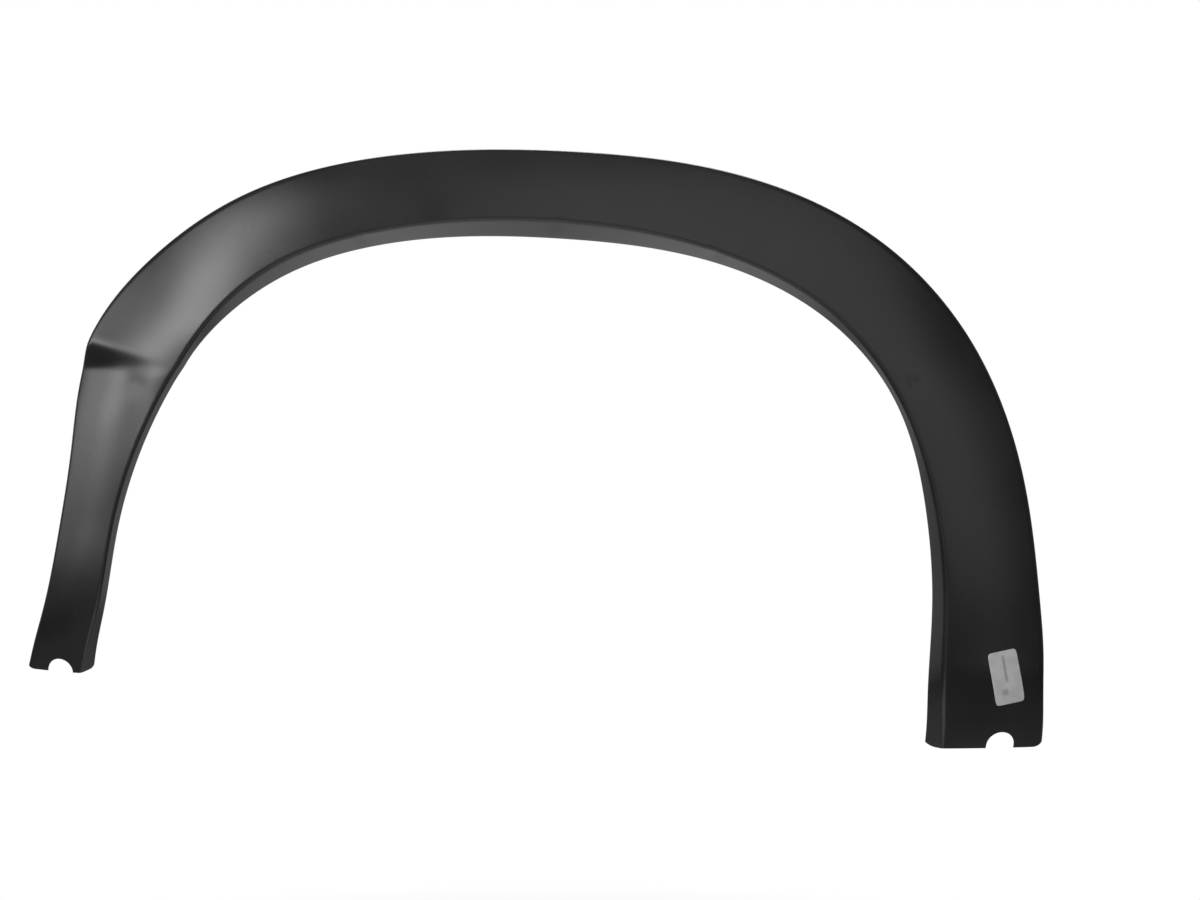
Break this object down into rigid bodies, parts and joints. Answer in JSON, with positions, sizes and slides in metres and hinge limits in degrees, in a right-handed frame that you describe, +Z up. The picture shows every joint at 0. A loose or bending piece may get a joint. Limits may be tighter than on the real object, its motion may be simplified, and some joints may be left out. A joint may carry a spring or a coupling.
{
  "type": "wheel arch trim molding",
  "caption": "Black moulded plastic trim that frames a car's wheel arch, with a crowned face, an inner lip, a step on one leg, notched end tabs and hidden clip seats.",
  "frame": {"origin": "midway between the holes of the two side clip seats, on the plane of the car's body panel", "axes": "+X along the car towards the wider leg, +Y inboard into the body panel, +Z up"},
  "size_m": [1.035, 0.0764, 0.6038],
  "materials": {
    "black_plastic": "satin moulded",
    "label_paper": "matt paper"
  },
  "bodies": {
    "root": {"arch_molding": "black_plastic", "stock_label": "label_paper"}
  },
  "joints": []
}
